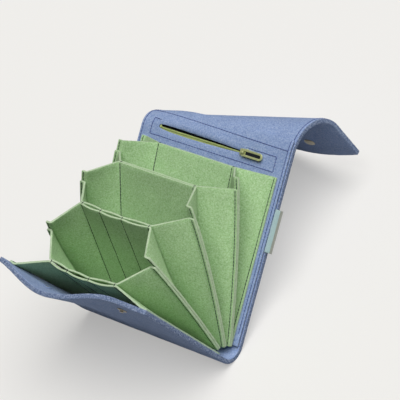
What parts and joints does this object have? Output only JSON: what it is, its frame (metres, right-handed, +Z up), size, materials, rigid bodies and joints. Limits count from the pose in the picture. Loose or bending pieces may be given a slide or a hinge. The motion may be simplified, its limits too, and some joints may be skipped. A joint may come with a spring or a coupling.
{
  "type": "knitting needle bag",
  "caption": "Felt needle bag standing open: a folded cover with a long flap thrown back, an accordion of stepped felt dividers with side gussets and a zip pocket above them.",
  "frame": {"origin": "on the surface that the bag stands on, under the middle of its bounding box", "axes": "+X to the right along the fold, +Y from the front panel to the flap, +Z up"},
  "size_m": [0.2088, 0.3432, 0.1706],
  "materials": {
    "blue_felt": "matte wool felt",
    "green_felt": "matte wool felt",
    "zip_tape": "woven tape",
    "zip_metal": "satin",
    "snap_metal": "satin",
    "label_cloth": "woven"
  },
  "bodies": {
    "back_cover": {"cover_back": "blue_felt", "cover_spine": "blue_felt", "cover_front_fold": "blue_felt", "flap_bend": "blue_felt", "zip_pocket_panel": "blue_felt", "zip_tape_lower": "zip_tape", "zip_tape_upper": "zip_tape", "zip_coil_lower": "zip_tape", "zip_coil_upper": "zip_tape", "zip_stop_left": "zip_metal", "zip_stop_right": "zip_metal", "side_label": "label_cloth", "gusset_4_rear_left": "green_felt", "gusset_4_rear_right": "green_felt"},
    "rear_divider": {"divider_4_front_sheet": "green_felt", "divider_4_rear_sheet": "green_felt", "gusset_4_front_left": "green_felt", "gusset_4_front_right": "green_felt"},
    "third_divider": {"divider_3_front_sheet": "green_felt", "divider_3_rear_sheet": "green_felt", "gusset_3_rear_left": "green_felt", "gusset_3_rear_right": "green_felt", "gusset_3_front_left": "green_felt", "gusset_3_front_right": "green_felt"},
    "second_divider": {"divider_2_front_sheet": "green_felt", "divider_2_rear_sheet": "green_felt", "gusset_2_rear_left": "green_felt", "gusset_2_rear_right": "green_felt", "gusset_2_front_left": "green_felt", "gusset_2_front_right": "green_felt"},
    "front_divider": {"divider_1_front_sheet": "green_felt", "divider_1_rear_sheet": "green_felt", "gusset_1_rear_left": "green_felt", "gusset_1_rear_right": "green_felt"},
    "front_panel": {"cover_front": "blue_felt", "snap_stud_left": "snap_metal", "snap_stud_right": "snap_metal", "snap_plate_left": "snap_metal", "snap_plate_right": "snap_metal", "gusset_1_front_left": "green_felt", "gusset_1_front_right": "green_felt"},
    "flap": {"flap": "blue_felt", "snap_cap_left": "snap_metal", "snap_cap_right": "snap_metal", "snap_socket_left": "snap_metal", "snap_socket_right": "snap_metal"},
    "zip_slider": {"zip_slider": "zip_metal"},
    "zip_pull": {"zip_pull": "zip_metal"}
  },
  "joints": [
    {"name": "front_hinge", "type": "hinge", "parent": "back_cover", "child": "front_panel", "pos_m": [-0.00545, -0.09299, 0.01625], "axis": [-1, 0, 0], "range_deg": [0, 74], "deforming": ["cover_front_fold", "gusset_1_front_left", "gusset_1_front_right"]},
    {"name": "rear_divider_hinge", "type": "hinge", "parent": "back_cover", "child": "rear_divider", "pos_m": [-0.00545, -0.09056, 0.01063], "axis": [-1, 0, 0], "range_deg": [0, 6], "deforming": ["gusset_4_rear_left", "gusset_4_rear_right"]},
    {"name": "third_divider_hinge", "type": "hinge", "parent": "rear_divider", "child": "third_divider", "pos_m": [-0.00545, -0.09354, 0.01439], "axis": [-1, 0, 0], "range_deg": [0, 18], "deforming": ["gusset_4_front_left", "gusset_4_front_right", "gusset_3_rear_left", "gusset_3_rear_right"]},
    {"name": "second_divider_hinge", "type": "hinge", "parent": "third_divider", "child": "second_divider", "pos_m": [-0.00545, -0.09753, 0.01706], "axis": [-1, 0, 0], "range_deg": [0, 22], "deforming": ["gusset_3_front_left", "gusset_3_front_right", "gusset_2_rear_left", "gusset_2_rear_right"]},
    {"name": "front_divider_hinge", "type": "hinge", "parent": "second_divider", "child": "front_divider", "pos_m": [-0.00545, -0.10223, 0.01803], "axis": [-1, 0, 0], "range_deg": [0, 24], "deforming": ["gusset_2_front_left", "gusset_2_front_right", "gusset_1_rear_left", "gusset_1_rear_right"]},
    {"name": "flap_hinge", "type": "hinge", "parent": "back_cover", "child": "flap", "pos_m": [-0.00686, 0.10928, 0.11537], "axis": [0.9959, 0.0766, 0.0484], "range_deg": [0, 180], "deforming": ["flap_bend", "zip_pocket_panel"]},
    {"name": "zip_slide", "type": "slide", "parent": "back_cover", "child": "zip_slider", "axis": [-1, 0, 0], "range_m": [0, 0.104]},
    {"name": "zip_pull_hinge", "type": "hinge", "parent": "zip_slider", "child": "zip_pull", "pos_m": [0.03755, 0.07358, 0.11497], "axis": [0, -0.8453, -0.5344], "range_deg": [0, 170]}
  ],
  "couplings": [
    {"joint": "rear_divider_hinge", "follows": "front_hinge", "ratio": 0.081081},
    {"joint": "third_divider_hinge", "follows": "front_hinge", "ratio": 0.24324},
    {"joint": "second_divider_hinge", "follows": "front_hinge", "ratio": 0.2973},
    {"joint": "front_divider_hinge", "follows": "front_hinge", "ratio": 0.32432}
  ]
}
